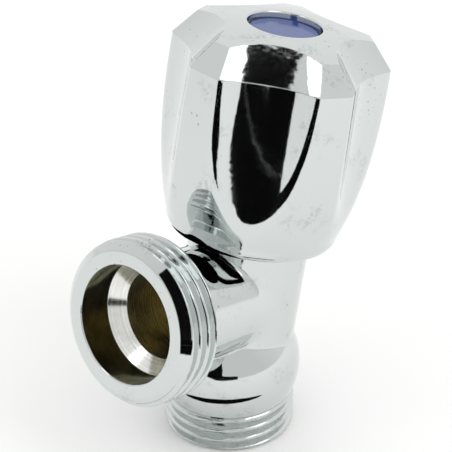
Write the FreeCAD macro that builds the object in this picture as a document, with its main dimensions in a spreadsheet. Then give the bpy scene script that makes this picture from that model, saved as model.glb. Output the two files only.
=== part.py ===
import FreeCAD, Part
import math
import os
import types
import Sketcher

# Washing machine valve: a cast angle body with a five-lobed knob on a spindle that turns in place.
# Every sub-part is drawn in the spindle's frame: its Z runs up the spindle from the knuckle's centre,
# and the outlet points along -Y. The placement then leans the spindle back from the upright inlet.

VEC = FreeCAD.Vector
X_AXIS = VEC(1, 0, 0)
Z_AXIS = VEC(0, 0, 1)

# Driving dimensions: name, value in millimetres or degrees, what it measures
SIZES = (
    ("tilt", 12.5, "lean of the spindle from the inlet, degrees"),
    ("inlet_length", 11.5, "inlet end face to knuckle centre"),
    ("inlet_thread_radius", 10.4775, "G 1/2 crest radius"),
    ("inlet_chamfer", 0.75, "lead chamfer of the inlet"),
    ("inlet_bore_radius", 6.75, "bore of the inlet"),
    ("inlet_bore_end", 3.0, "end of the inlet bore below the knuckle centre"),
    ("knuckle_radius", 11.4, "ball where inlet and neck meet"),
    ("neck_radius", 9.6, "neck above the knuckle"),
    ("neck_rim_radius", 10.6, "rim around the bonnet's thread"),
    ("neck_rim_base", 22.3, "height where the neck widens into the rim"),
    ("neck_rim_top", 25.0, "height of the rim's face"),
    ("outlet_height", 12.1, "outlet axis above the knuckle centre"),
    ("outlet_reach", 26.5, "spindle axis to the outlet's end face"),
    ("outlet_thread_radius", 13.2205, "G 3/4 crest radius"),
    ("outlet_thread_length", 6.6, "length of the outlet's thread"),
    ("outlet_chamfer", 1.6, "lead chamfer of the outlet, across the axis"),
    ("outlet_chamfer_length", 1.2, "lead chamfer of the outlet, along the axis"),
    ("outlet_back_chamfer", 0.8, "chamfer behind the outlet's thread"),
    ("branch_radius", 9.0, "plain part of the outlet branch"),
    ("branch_fillet", 0.45, "fillet where branch and neck meet"),
    ("counterbore_radius", 9.4, "wide bore of the outlet"),
    ("counterbore_depth", 5.8, "depth of the wide bore"),
    ("shoulder_length", 2.0, "length of the conical shoulder"),
    ("outlet_bore_radius", 7.05, "narrow bore of the outlet"),
    ("chamber_radius", 7.6, "chamber around the plunger"),
    ("seat_height", 3.5, "seat above the knuckle centre"),
    ("seat_ring_height", 0.8, "raised ring of the seat"),
    ("seat_ring_radius", 6.4, "outer radius of the seat's ring"),
    ("seat_bore_radius", 5.2, "waterway through the seat"),
    ("bonnet_thread_radius", 8.33, "G 3/8 crest radius of the bonnet"),
    ("bonnet_thread_length", 7.0, "thread of the bonnet in the neck"),
    ("screwed_clearance", 0.02, "gap at a screwed or pressed diameter"),
    ("gasket_thickness", 1.0, "flat ring under the hexagon"),
    ("gasket_margin", 0.1, "ring's edge inside the hexagon's flats"),
    ("hexagon_flats", 19.0, "hexagon across flats"),
    ("hexagon_height", 5.5, "hexagon along the spindle"),
    ("bonnet_neck_radius", 7.0, "round neck of the bonnet"),
    ("bonnet_neck_height", 5.5, "round neck above the hexagon"),
    ("edge_break", 0.4, "small chamfer on turned edges"),
    ("running_clearance", 0.05, "radial gap where pieces turn or slide"),
    ("spindle_radius", 4.95, "spindle in the bonnet"),
    ("spindle_collar_radius", 6.2, "collar that carries the thrust"),
    ("spindle_collar_height", 1.4, "collar along the spindle"),
    ("spindle_screw_radius", 4.0, "driving screw crest radius"),
    ("spindle_screw_length", 14.5, "driving screw below the collar"),
    ("washer_thickness", 0.6, "thrust washer"),
    ("collar_depth", 0.5, "thrust face below the top of the hexagon"),
    ("ring_section", 0.65, "section radius of the spindle's seals"),
    ("ring_groove_width", 1.9, "groove of a seal"),
    ("ring_groove_radius", 3.6, "bottom of a seal's groove"),
    ("ring_lower_offset", 2.0, "lower seal above the thrust face"),
    ("ring_spacing", 2.4, "seal to seal"),
    ("circlip_thickness", 0.9, "open ring that holds the spindle"),
    ("circlip_groove_radius", 4.25, "bottom of the ring's groove"),
    ("circlip_radius", 6.2, "outer radius of the open ring"),
    ("circlip_opening", 70.0, "opening of the ring, degrees"),
    ("end_play", 0.1, "axial gap between pieces that turn"),
    ("spline_radius", 3.95, "crest of the spline"),
    ("spline_depth", 0.45, "depth of the spline's teeth"),
    ("spline_teeth", 20.0, "teeth of the spline"),
    ("spline_length", 9.8, "splined head"),
    ("spline_start_gap", 0.6, "spline above the open ring"),
    ("plunger_radius", 6.25, "plunger in the bonnet"),
    ("plunger_flat", 5.2, "half distance across the plunger's flats"),
    ("plunger_head_radius", 7.1, "head that backs the rubber disc"),
    ("plunger_head_height", 2.7, "head along the spindle"),
    ("plunger_length", 17.2, "plunger with its head"),
    ("plunger_web", 1.2, "web between screw hole and driving thread"),
    ("disc_radius", 6.9, "rubber disc"),
    ("disc_thickness", 2.8, "rubber disc along the spindle"),
    ("disc_screw_radius", 1.9, "screw through the rubber disc"),
    ("disc_screw_grip", 1.5, "screw's hold in the plunger"),
    ("disc_head_radius", 3.2, "head of the disc's screw"),
    ("disc_head_height", 1.6, "head of the disc's screw along the spindle"),
    ("slot_width", 0.9, "driver slot"),
    ("slot_depth", 0.7, "driver slot depth"),
    ("knob_base", 22.75, "knob's lower edge above the knuckle centre"),
    ("knob_base_radius", 12.9, "round lower edge of the knob"),
    ("knob_heel", 25.55, "height of the knob's heel, where it draws in to the lower edge"),
    ("knob_heel_lobe", 14.1, "lobe radius at the heel"),
    ("knob_heel_face", 14.3, "face radius at the heel"),
    ("knob_low", 30.0, "height of the knob's low section"),
    ("knob_low_lobe", 15.35, "lobe radius at the low section"),
    ("knob_low_face", 14.7, "face radius at the low section"),
    ("knob_waist", 40.0, "height of the knob's middle section"),
    ("knob_waist_lobe", 17.1, "lobe radius at the middle section"),
    ("knob_waist_face", 14.55, "face radius at the middle section"),
    ("knob_shoulder", 46.0, "height of the knob's section below the rim line"),
    ("knob_shoulder_lobe", 17.5, "lobe radius at that section"),
    ("knob_shoulder_face", 14.4, "face radius at that section"),
    ("knob_rim", 51.9, "height of the knob's rim line"),
    ("knob_rim_lobe", 17.55, "lobe radius at the rim line"),
    ("knob_rim_face", 14.2, "face radius at the rim line"),
    ("lobe_half_angle", 10.3, "half width of a lobe at the rim line, degrees"),
    ("knob_crown", 58.0, "height where the sloped facets would end"),
    ("knob_crown_lobe", 12.6, "lobe radius there"),
    ("knob_crown_face", 8.5, "face radius there"),
    ("crown_half_angle", 3.3, "half width of a lobe there, degrees"),
    ("dome_radius", 64.3, "dome of the knob's top"),
    ("dome_top", 57.57, "height of the dome on the axis"),
    ("knob_wall", 1.9, "wall of the knob"),
    ("knob_mouth_wall", 1.3, "wall at the knob's lower edge"),
    ("knob_ceiling", 50.3, "ceiling of the knob's hollow"),
    ("knob_edge_radius", 1.0, "rounded edges of the lobes"),
    ("knob_mouth_edge", 0.6, "rounded lower edge"),
    ("hub_radius", 7.6, "hub inside the knob"),
    ("hub_clearance", 1.0, "hub above the open ring"),
    ("socket_radius", 5.8, "socket for the spline bush"),
    ("hub_web", 2.2, "web under the knob screw's head"),
    ("rib_thickness", 1.4, "ribs between hub and wall"),
    ("rib_height", 6.0, "ribs below the ceiling"),
    ("knob_screw_radius", 2.0, "screw that holds the knob"),
    ("knob_screw_reach", 6.5, "screw's hold in the spindle"),
    ("knob_screw_head", 3.8, "head radius of that screw"),
    ("knob_screw_head_height", 2.2, "head height of that screw"),
    ("screw_clearance", 0.2, "radial gap around a screw's shank"),
    ("head_recess_radius", 4.4, "recess for the knob screw's head"),
    ("cap_ledge", 55.0, "ledge that the blue cap sits on"),
    ("cap_hole_radius", 5.87, "hole for the blue cap"),
    ("cap_clearance", 0.08, "gap around the blue cap"),
    ("cap_thickness", 1.7, "blue cap"),
    ("cap_plug_wall", 0.8, "ring under the blue cap"),
    ("cap_plug_depth", 1.1, "depth of that ring"),
)

LOBES = 5
FIRST_LOBE = -90.0


class Size:
    """A value that keeps its number and the sheet expression that gives it."""

    def __init__(self, text, number):
        self.text = text
        self.number = number

    def __add__(self, other):
        other = as_size(other)
        return Size(f"({self.text} + {other.text})", self.number + other.number)

    def __sub__(self, other):
        other = as_size(other)
        return Size(f"({self.text} - {other.text})", self.number - other.number)

    def __mul__(self, other):
        other = as_size(other)
        return Size(f"({self.text} * {other.text})", self.number * other.number)

    def __truediv__(self, other):
        other = as_size(other)
        return Size(f"({self.text} / {other.text})", self.number / other.number)

    def __neg__(self):
        return Size(f"(-{self.text})", -self.number)


def as_size(value):
    """A plain number as a Size."""
    if isinstance(value, Size):
        return value
    return Size(repr(float(value)), float(value))


def cosine(angle):
    """Cosine of an angle in degrees."""
    return Size(f"cos({angle.text})", math.cos(math.radians(angle.number)))


def sine(angle):
    """Sine of an angle in degrees."""
    return Size(f"sin({angle.text})", math.sin(math.radians(angle.number)))


def root(value):
    """Square root."""
    return Size(f"sqrt({value.text})", math.sqrt(value.number))


ZERO = as_size(0)

doc = FreeCAD.newDocument("WashingMachineValve")
sheet = doc.addObject("Spreadsheet::Sheet", "Sizes")
dim = types.SimpleNamespace()
for row, (alias, value, meaning) in enumerate(SIZES, start=1):
    sheet.set(f"A{row}", alias)
    sheet.set(f"B{row}", str(value))
    sheet.set(f"C{row}", meaning)
    sheet.setAlias(f"B{row}", alias)
    setattr(dim, alias, Size(f"Sizes.{alias}", value))
doc.recompute()

# Heights along the spindle that several pieces share
disc_top = dim.seat_height + dim.disc_thickness
plunger_top = disc_top + dim.plunger_length
bonnet_base = dim.neck_rim_top - dim.bonnet_thread_length
hexagon_base = dim.neck_rim_top + dim.gasket_thickness
hexagon_top = hexagon_base + dim.hexagon_height
bonnet_top = hexagon_top + dim.bonnet_neck_height
thrust_face = hexagon_top - dim.collar_depth
collar_top = thrust_face - dim.washer_thickness
collar_base = collar_top - dim.spindle_collar_height
screw_base = collar_base - dim.spindle_screw_length
circlip_base = bonnet_top + dim.end_play
circlip_top = circlip_base + dim.circlip_thickness
spline_base = circlip_top + dim.spline_start_gap
spindle_top = spline_base + dim.spline_length
hub_base = circlip_top + dim.hub_clearance
hub_web_base = spindle_top + dim.end_play
hub_web_top = hub_web_base + dim.hub_web
spindle_bore = dim.spindle_radius + dim.running_clearance
ring_lower = thrust_face + dim.ring_lower_offset
ring_upper = ring_lower + dim.ring_spacing


def set_size(thing, name, size):
    """Bind one property of an object to the sheet."""
    thing.setExpression(name, size.text)


def lean(thing):
    """Place a sub-part in the spindle's frame above the inlet."""
    turn = FreeCAD.Rotation(X_AXIS, -dim.tilt.number)
    thing.Placement = FreeCAD.Placement(VEC(0, 0, dim.inlet_length.number), turn)
    set_size(thing, "Placement.Base.z", dim.inlet_length)
    set_size(thing, "Placement.Rotation.Angle", -dim.tilt)


def new_body(label):
    """An empty body with its label, leaned into place."""
    body = doc.addObject("PartDesign::Body", "Body_" + label)
    body.Label = label
    lean(body)
    return body


def new_sketch(body, name, role, height=None, shift=None, turn=None):
    """A sketch on one of the body's own planes, raised, shifted along its Y or turned about its normal."""
    sketch = body.newObject("Sketcher::SketchObject", f"{body.Label}_{name}")
    plane = next(item for item in body.Origin.OriginFeatures if item.Role == role)
    sketch.AttachmentSupport = [(plane, "")]
    sketch.MapMode = "FlatFace"
    base = VEC(0, shift.number if shift else 0, height.number if height else 0)
    angle = turn.number if turn else 0
    sketch.AttachmentOffset = FreeCAD.Placement(base, FreeCAD.Rotation(Z_AXIS, angle))
    if height:
        set_size(sketch, "AttachmentOffset.Base.z", height)
    if shift:
        set_size(sketch, "AttachmentOffset.Base.y", shift)
    if turn:
        set_size(sketch, "AttachmentOffset.Rotation.Angle", turn)
    return sketch


def hold_point(sketch, geometry, end, point):
    """Fix one end of a sketch element at a point given by two sizes."""
    for kind, axis, size in (("DistanceX", -2, point[0]), ("DistanceY", -1, point[1])):
        if abs(size.number) < 1e-9:
            sketch.addConstraint(Sketcher.Constraint("PointOnObject", geometry, end, axis))
            continue
        index = sketch.addConstraint(Sketcher.Constraint(kind, -1, 1, geometry, end, size.number))
        set_size(sketch, f"Constraints[{index}]", size)


def flat(point):
    """A sketch point as a vector."""
    return VEC(point[0].number, point[1].number, 0)


def draw_outline(sketch, corners, bends=None):
    """A closed outline through corners; bends gives the middle point of each side that is an arc."""
    corners = [(as_size(x), as_size(y)) for x, y in corners]
    bends = bends or {}
    sides = []
    for index, corner in enumerate(corners):
        start = flat(corner)
        finish = flat(corners[(index + 1) % len(corners)])
        if index in bends:
            curve = Part.Arc(start, flat(bends[index]), finish)
            side = sketch.addGeometry(curve, False)
            first = 1 if sketch.getPoint(side, 1).distanceToPoint(start) < 1e-6 else 2
            sides.append((side, first, 3 - first))
        else:
            side = sketch.addGeometry(Part.LineSegment(start, finish), False)
            sides.append((side, 1, 2))
    for index, (side, first, last) in enumerate(sides):
        following = sides[(index + 1) % len(sides)]
        sketch.addConstraint(Sketcher.Constraint("Coincident", side, last, following[0], following[1]))
        hold_point(sketch, side, first, corners[index])
    for index, middle in bends.items():
        mark = sketch.addGeometry(Part.Point(flat(middle)), True)
        hold_point(sketch, mark, 1, middle)
        sketch.addConstraint(Sketcher.Constraint("PointOnObject", mark, 1, sides[index][0]))


def draw_circle(sketch, radius):
    """A circle about the sketch's origin."""
    circle = sketch.addGeometry(Part.Circle(VEC(0, 0, 0), Z_AXIS, radius.number), False)
    sketch.addConstraint(Sketcher.Constraint("Coincident", circle, 3, -1, 1))
    index = sketch.addConstraint(Sketcher.Constraint("Radius", circle, radius.number))
    set_size(sketch, f"Constraints[{index}]", radius)


def turn_profile(body, name, corners, cut=False, bends=None, turn=None, shift=None, axis="V_Axis"):
    """Turn an outline about a sketch axis, as added or removed material."""
    sketch = new_sketch(body, name + "_outline", "YZ_Plane", turn=turn, shift=shift)
    draw_outline(sketch, corners, bends)
    kind = "PartDesign::Groove" if cut else "PartDesign::Revolution"
    feature = body.newObject(kind, f"{body.Label}_{name}")
    feature.Profile = sketch
    feature.ReferenceAxis = (sketch, [axis])
    feature.Angle = 360.0
    doc.recompute()
    return feature


def extrude(body, sketch, name, length, cut=False, upward=True):
    """Pad or pocket a sketch along the body's Z."""
    kind = "PartDesign::Pocket" if cut else "PartDesign::Pad"
    feature = body.newObject(kind, f"{body.Label}_{name}")
    feature.Profile = sketch
    feature.Length = length.number
    set_size(feature, "Length", length)
    feature.Reversed = upward if cut else not upward
    doc.recompute()
    return feature


def repeat_around(body, feature, name, count):
    """Copies of a feature around the body's Z."""
    pattern = body.newObject("PartDesign::PolarPattern", f"{body.Label}_{name}")
    pattern.Originals = [feature]
    axis = next(item for item in body.Origin.OriginFeatures if item.Role == "Z_Axis")
    pattern.Axis = (axis, [""])
    pattern.Angle = 360.0
    body.Tip = pattern
    if isinstance(count, Size):
        set_size(pattern, "Occurrences", count)
    else:
        pattern.Occurrences = count
    doc.recompute()
    return pattern


def ring(low, high, inner, outer):
    """Corners of a plain ring's section."""
    return [(inner, low), (outer, low), (outer, high), (inner, high)]


def disc(low, high, outer):
    """Corners of a plain disc's section."""
    return [(ZERO, low), (outer, low), (outer, high), (ZERO, high)]


def shaft_outline(steps, edge):
    """Section of a stepped shaft from (radius, low, high) steps, with its first and last edge broken."""
    corners = [(ZERO, steps[0][1])]
    for index, (radius, low, high) in enumerate(steps):
        if index == 0:
            corners.append((radius - edge, low))
            corners.append((radius, low + edge))
        else:
            corners.append((radius, low))
        if index == len(steps) - 1:
            corners.append((radius, high - edge))
            corners.append((radius - edge, high))
        else:
            corners.append((radius, high))
    corners.append((ZERO, steps[-1][2]))
    return corners


def edges_between(shape, test):
    """Names of the edges that a test accepts."""
    return [f"Edge{index}" for index, edge in enumerate(shape.Edges, start=1) if test(edge)]


def round_edges(body, name, radius, test):
    """Fillet the edges of a body that a test accepts."""
    base = body.Tip
    fillet = body.newObject("PartDesign::Fillet", f"{body.Label}_{name}")
    fillet.Base = (base, edges_between(base.Shape, test))
    fillet.Radius = radius.number
    set_size(fillet, "Radius", radius)
    doc.recompute()


def make_valve_body():
    """Cast body: ball knuckle, neck, inclined inlet, outlet branch and the waterways."""
    body = new_body("valve_body")
    crease = root(dim.knuckle_radius * dim.knuckle_radius - dim.neck_radius * dim.neck_radius)
    low = -dim.knuckle_radius
    half = dim.knuckle_radius * math.sqrt(0.5)
    rim_slope = dim.neck_rim_radius - dim.neck_radius
    turn_profile(body, "neck", [
        (ZERO, low),
        (dim.neck_radius, crease),
        (dim.neck_radius, dim.neck_rim_base),
        (dim.neck_rim_radius, dim.neck_rim_base + rim_slope),
        (dim.neck_rim_radius, dim.neck_rim_top),
        (ZERO, dim.neck_rim_top),
    ], bends={0: (half, -half)})
    inlet_face = -dim.inlet_length
    turn_profile(body, "inlet", [
        (ZERO, inlet_face),
        (dim.inlet_thread_radius - dim.inlet_chamfer, inlet_face),
        (dim.inlet_thread_radius, inlet_face + dim.inlet_chamfer),
        (dim.inlet_thread_radius, ZERO),
        (ZERO, ZERO),
    ], turn=dim.tilt)
    thread_back = dim.outlet_reach - dim.outlet_thread_length
    half_turn = as_size(180)
    turn_profile(body, "outlet", [
        (ZERO, ZERO),
        (dim.outlet_reach, ZERO),
        (dim.outlet_reach, dim.outlet_thread_radius - dim.outlet_chamfer),
        (dim.outlet_reach - dim.outlet_chamfer_length, dim.outlet_thread_radius),
        (thread_back, dim.outlet_thread_radius),
        (thread_back - dim.outlet_back_chamfer, dim.outlet_thread_radius - dim.outlet_back_chamfer),
        (thread_back - dim.outlet_back_chamfer, dim.branch_radius),
        (ZERO, dim.branch_radius),
    ], turn=half_turn, shift=dim.outlet_height, axis="H_Axis")
    round_meeting_curve(body)
    chamber_floor = dim.seat_height - dim.seat_ring_height
    thread_bore = dim.bonnet_thread_radius + dim.screwed_clearance
    turn_profile(body, "chamber", [
        (ZERO, -dim.inlet_bore_end),
        (dim.seat_bore_radius, -dim.inlet_bore_end),
        (dim.seat_bore_radius, dim.seat_height),
        (dim.seat_ring_radius, dim.seat_height),
        (dim.seat_ring_radius, chamber_floor),
        (dim.chamber_radius, chamber_floor),
        (dim.chamber_radius, bonnet_base - dim.end_play),
        (thread_bore, bonnet_base - dim.end_play),
        (thread_bore, dim.neck_rim_top),
        (ZERO, dim.neck_rim_top),
    ], cut=True)
    drill_point = dim.inlet_bore_radius * 0.35
    turn_profile(body, "inlet_bore", [
        (ZERO, inlet_face),
        (dim.inlet_bore_radius, inlet_face),
        (dim.inlet_bore_radius, -dim.inlet_bore_end),
        (ZERO, drill_point - dim.inlet_bore_end),
    ], cut=True, turn=dim.tilt)
    shoulder_start = dim.outlet_reach - dim.counterbore_depth
    shoulder_end = shoulder_start - dim.shoulder_length
    turn_profile(body, "outlet_bore", [
        (ZERO, ZERO),
        (dim.outlet_reach, ZERO),
        (dim.outlet_reach, dim.counterbore_radius),
        (shoulder_start, dim.counterbore_radius),
        (shoulder_end, dim.outlet_bore_radius),
        (ZERO, dim.outlet_bore_radius),
    ], cut=True, turn=half_turn, shift=dim.outlet_height, axis="H_Axis")
    return body


def round_meeting_curve(body):
    """Small fillet along the curve where the outlet branch meets neck and knuckle."""
    outer = dim.outlet_reach.number - dim.outlet_thread_length.number - 2.0
    height = dim.outlet_height.number
    branch = dim.branch_radius.number

    def on_branch(edge):
        first, last = edge.ParameterRange
        spots = [edge.valueAt(first + part * (last - first)) for part in (0.1, 0.5, 0.9)]
        return all(abs(math.hypot(spot.x, spot.z - height) - branch) < 0.01 and -outer < spot.y < -0.5
                   for spot in spots)

    round_edges(body, "branch_fillet", dim.branch_fillet, on_branch)


def make_bonnet():
    """Headwork: thread, hexagon, round neck, spindle bore and the guide for the plunger's flats."""
    body = new_body("bonnet")
    turn_profile(body, "shank", [
        (ZERO, bonnet_base),
        (dim.bonnet_thread_radius - dim.edge_break, bonnet_base),
        (dim.bonnet_thread_radius, bonnet_base + dim.edge_break),
        (dim.bonnet_thread_radius, hexagon_base),
        (dim.bonnet_neck_radius, hexagon_base),
        (dim.bonnet_neck_radius, bonnet_top - dim.edge_break),
        (dim.bonnet_neck_radius - dim.edge_break, bonnet_top),
        (ZERO, bonnet_top),
    ])
    sketch = new_sketch(body, "hexagon_outline", "XY_Plane", height=hexagon_base)
    corner = dim.hexagon_flats / math.sqrt(3)
    points = [(corner * math.cos(math.radians(60 * step)), corner * math.sin(math.radians(60 * step)))
              for step in range(6)]
    draw_outline(sketch, points)
    extrude(body, sketch, "hexagon", dim.hexagon_height)
    guide = new_sketch(body, "guide_outline", "XY_Plane", height=bonnet_base)
    guide_radius = dim.plunger_radius + dim.running_clearance
    draw_flatted_circle(guide, guide_radius, dim.plunger_flat + dim.running_clearance)
    extrude(body, guide, "guide", collar_base - dim.end_play - bonnet_base, cut=True)
    collar_room = dim.spindle_collar_radius + dim.running_clearance
    turn_profile(body, "spindle_bore", [
        (ZERO, collar_base - dim.end_play),
        (collar_room, collar_base - dim.end_play),
        (collar_room, thrust_face),
        (spindle_bore, thrust_face),
        (spindle_bore, bonnet_top),
        (ZERO, bonnet_top),
    ], cut=True)
    return body


def draw_flatted_circle(sketch, radius, half_width):
    """A circle with two parallel flats."""
    side = root(radius * radius - half_width * half_width)
    corners = [(half_width, -side), (half_width, side), (-half_width, side), (-half_width, -side)]
    draw_outline(sketch, corners, {1: (ZERO, radius), 3: (ZERO, -radius)})


def make_bonnet_gasket():
    """Flat ring between the neck's rim and the hexagon."""
    body = new_body("bonnet_gasket")
    inner = dim.bonnet_thread_radius + dim.running_clearance
    outer = dim.hexagon_flats / 2 - dim.gasket_margin
    turn_profile(body, "ring", ring(dim.neck_rim_top, hexagon_base, inner, outer))
    return body


def make_spindle():
    """Spindle: driving screw, thrust collar, two seal grooves, ring groove, spline and screw hole."""
    body = new_body("spindle")
    groove_half = dim.ring_groove_width / 2
    steps = [
        (dim.spindle_screw_radius, screw_base, collar_base),
        (dim.spindle_collar_radius, collar_base, collar_top),
        (dim.spindle_radius, collar_top, ring_lower - groove_half),
        (dim.ring_groove_radius, ring_lower - groove_half, ring_lower + groove_half),
        (dim.spindle_radius, ring_lower + groove_half, ring_upper - groove_half),
        (dim.ring_groove_radius, ring_upper - groove_half, ring_upper + groove_half),
        (dim.spindle_radius, ring_upper + groove_half, circlip_base),
        (dim.circlip_groove_radius, circlip_base, circlip_top),
        (dim.spindle_radius, circlip_top, spline_base),
        (dim.spline_radius, spline_base, spindle_top),
    ]
    turn_profile(body, "shaft", shaft_outline(steps, dim.edge_break))
    tooth = new_sketch(body, "tooth_outline", "XY_Plane", height=spline_base)
    half_pitch = as_size(180) / dim.spline_teeth
    root_radius = dim.spline_radius - dim.spline_depth
    reach = dim.spline_radius * 1.03
    across = reach * sine(half_pitch * 0.8)
    draw_outline(tooth, [(ZERO, root_radius), (across, reach), (-across, reach)])
    cut = extrude(body, tooth, "tooth_gap", dim.spline_length, cut=True)
    repeat_around(body, cut, "spline", dim.spline_teeth)
    hole_base = spindle_top - dim.knob_screw_reach - dim.end_play
    hole = new_sketch(body, "screw_hole_outline", "XY_Plane", height=hole_base)
    draw_circle(hole, dim.knob_screw_radius + dim.screwed_clearance)
    extrude(body, hole, "screw_hole", dim.knob_screw_reach + dim.end_play * 2, cut=True)
    return body


def make_spindle_ring(label, height):
    """Rubber seal ring in one of the spindle's grooves."""
    seal = doc.addObject("Part::Torus", "Ring_" + label)
    seal.Label = label
    major = spindle_bore - dim.running_clearance / 2 - dim.ring_section
    seal.Radius1 = major.number
    seal.Radius2 = dim.ring_section.number
    set_size(seal, "Radius1", major)
    set_size(seal, "Radius2", dim.ring_section)
    lean(seal)
    rise = dim.inlet_length + height * cosine(dim.tilt)
    back = height * sine(dim.tilt)
    set_size(seal, "Placement.Base.z", rise)
    set_size(seal, "Placement.Base.y", back)
    doc.recompute()
    return seal


def make_thrust_washer():
    """Plastic ring between the spindle's collar and the bonnet."""
    body = new_body("thrust_washer")
    inner = dim.spindle_radius + dim.running_clearance
    turn_profile(body, "ring", ring(collar_top, thrust_face - dim.end_play, inner, dim.spindle_collar_radius))
    return body


def make_spindle_circlip():
    """Open spring ring in the spindle's top groove."""
    body = new_body("spindle_circlip")
    inner = dim.circlip_groove_radius + dim.screwed_clearance
    top = circlip_top - dim.screwed_clearance
    ring_feature = turn_profile(body, "ring", ring(circlip_base, top, inner, dim.circlip_radius))
    set_size(ring_feature, "Angle", as_size(360) - dim.circlip_opening)
    doc.recompute()
    return body


def make_plunger():
    """Carrier: head for the rubber disc, two guiding flats, hole for the driving screw."""
    body = new_body("plunger")
    head_top = disc_top + dim.plunger_head_height
    screw_room = dim.spindle_screw_radius + dim.running_clearance
    hole_base = disc_top + dim.disc_screw_grip + dim.end_play + dim.plunger_web
    pilot = dim.disc_screw_radius + dim.screwed_clearance
    turn_profile(body, "blank", [
        (ZERO, disc_top),
        (dim.plunger_head_radius, disc_top),
        (dim.plunger_head_radius, head_top - dim.edge_break),
        (dim.plunger_head_radius - dim.edge_break, head_top),
        (dim.plunger_radius, head_top),
        (dim.plunger_radius, plunger_top - dim.edge_break),
        (dim.plunger_radius - dim.edge_break, plunger_top),
        (ZERO, plunger_top),
    ])
    flats = new_sketch(body, "flats_outline", "XY_Plane", height=head_top)
    wide = dim.plunger_radius * 1.2
    for side in (1, -1):
        draw_outline(flats, [
            (dim.plunger_flat * side, -wide),
            (wide * side, -wide),
            (wide * side, wide),
            (dim.plunger_flat * side, wide),
        ])
    extrude(body, flats, "flats", plunger_top - head_top, cut=True)
    pilot_top = disc_top + dim.disc_screw_grip + dim.end_play
    turn_profile(body, "bores", disc(disc_top, pilot_top, pilot), cut=True)
    turn_profile(body, "driving_hole", disc(hole_base, plunger_top, screw_room), cut=True)
    return body


def make_seat_washer():
    """Rubber disc with a hole for its screw."""
    body = new_body("seat_washer")
    inner = dim.disc_screw_radius + dim.running_clearance
    turn_profile(body, "disc", ring(dim.seat_height, disc_top, inner, dim.disc_radius))
    return body


def cut_slot(body, name, height, radius, upward):
    """Driver slot across a screw's head."""
    sketch = new_sketch(body, name + "_outline", "XY_Plane", height=height)
    half = dim.slot_width / 2
    far = radius * 1.2
    draw_outline(sketch, [(-far, -half), (far, -half), (far, half), (-far, half)])
    extrude(body, sketch, name, dim.slot_depth, cut=True, upward=upward)


def make_washer_screw():
    """Screw from below through the rubber disc into the plunger."""
    body = new_body("washer_screw")
    head_base = dim.seat_height - dim.disc_head_height
    turn_profile(body, "blank", shaft_outline([
        (dim.disc_head_radius, head_base, dim.seat_height),
        (dim.disc_screw_radius, dim.seat_height, disc_top + dim.disc_screw_grip),
    ], dim.edge_break))
    cut_slot(body, "slot", head_base, dim.disc_head_radius, True)
    return body


def polar(radius, angle):
    """A sketch point at a radius and an angle in degrees."""
    return (radius * cosine(angle), radius * sine(angle))


def draw_lobed_section(sketch, lobe, face, half_angle):
    """Outline of the knob at one height: a straight side on each lobe and an arc across each face."""
    step = 360.0 / LOBES
    corners = []
    bends = {}
    for index in range(LOBES):
        middle = as_size(FIRST_LOBE + step * index)
        corners.append(polar(lobe, middle - half_angle))
        corners.append(polar(lobe, middle + half_angle))
        bends[2 * index + 1] = polar(face, middle + step / 2)
    draw_outline(sketch, corners, bends)


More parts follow.
